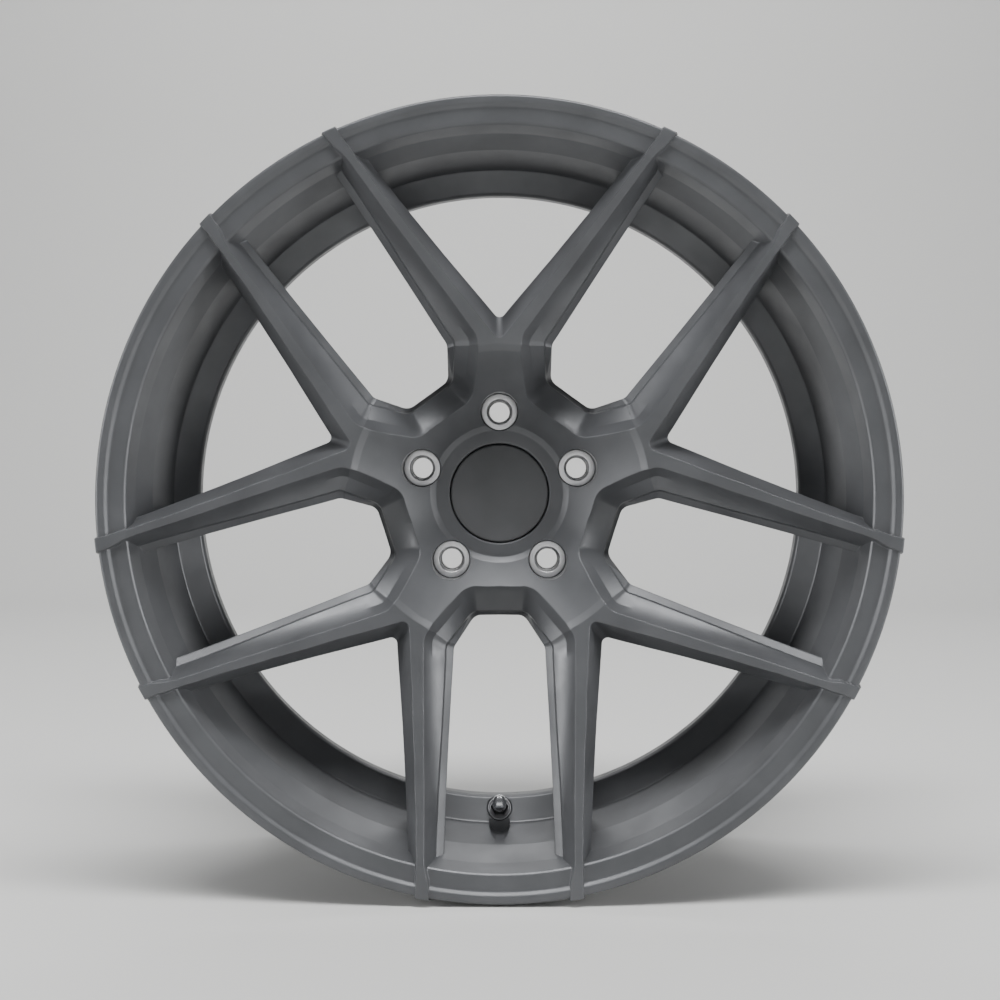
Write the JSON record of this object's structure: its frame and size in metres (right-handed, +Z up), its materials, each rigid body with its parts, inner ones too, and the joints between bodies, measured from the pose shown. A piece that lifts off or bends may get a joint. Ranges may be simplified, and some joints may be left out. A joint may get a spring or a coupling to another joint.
{
  "type": "racing wheel rim",
  "caption": "One-piece forged wheel rim with Y-shaped double spokes, pressed-in lug seats, a snap-in centre cap, a hub ring and a clamp-in tyre valve.",
  "frame": {"origin": "centre of the wheel's bounding box, on the wheel's axis", "axes": "+Y along the wheel's axis towards the brake side, the face looks towards -Y, +Z up with the valve at the bottom"},
  "size_m": [0.522, 0.2416, 0.522],
  "materials": {
    "gunmetal_paint": "forged aluminium under a satin gunmetal powder coat",
    "cap_paint": "satin gunmetal paint on plastic",
    "bare_steel": "machined bare metal",
    "spring_steel": "spring steel",
    "ring_alloy": "machined aluminium",
    "brass": "plain brass",
    "chrome": "nickel plated brass",
    "rubber": "black rubber",
    "black_anodised": "black anodised"
  },
  "bodies": {
    "wheel": {"wheel_body": "gunmetal_paint", "lug_seat_1": "bare_steel", "lug_seat_2": "bare_steel", "lug_seat_3": "bare_steel", "lug_seat_4": "bare_steel", "lug_seat_5": "bare_steel", "valve_stem": "chrome", "valve_base_seal": "rubber", "valve_bush": "rubber", "valve_washer": "spring_steel", "valve_nut": "black_anodised", "core_body": "brass", "core_seal": "rubber", "spring_cup": "brass", "core_spring": "spring_steel"},
    "cap": {"centre_cap": "cap_paint", "cap_spring_ring": "spring_steel"},
    "centring_ring": {"hub_ring": "ring_alloy"},
    "pin": {"core_pin": "brass"},
    "dust_cap": {"valve_cap": "chrome", "cap_gasket": "rubber"}
  },
  "joints": [
    {"name": "centre_cap_pull", "type": "slide", "parent": "wheel", "child": "cap", "axis": [0, -1, 0], "range_m": [0, 0.02]},
    {"name": "hub_ring_pull", "type": "slide", "parent": "wheel", "child": "centring_ring", "axis": [0, 1, 0], "range_m": [0, 0.015]},
    {"name": "valve_cap_off", "type": "slide", "parent": "wheel", "child": "dust_cap", "axis": [0, -0.9121, 0.4099], "range_m": [0, 0.02]},
    {"name": "valve_core_press", "type": "slide", "parent": "wheel", "child": "pin", "axis": [0, 0.9121, -0.4099], "range_m": [0, 0.0008], "stiffness_N_per_m": 400, "springref_m": -0.0008, "deforming": ["core_spring"]}
  ]
}
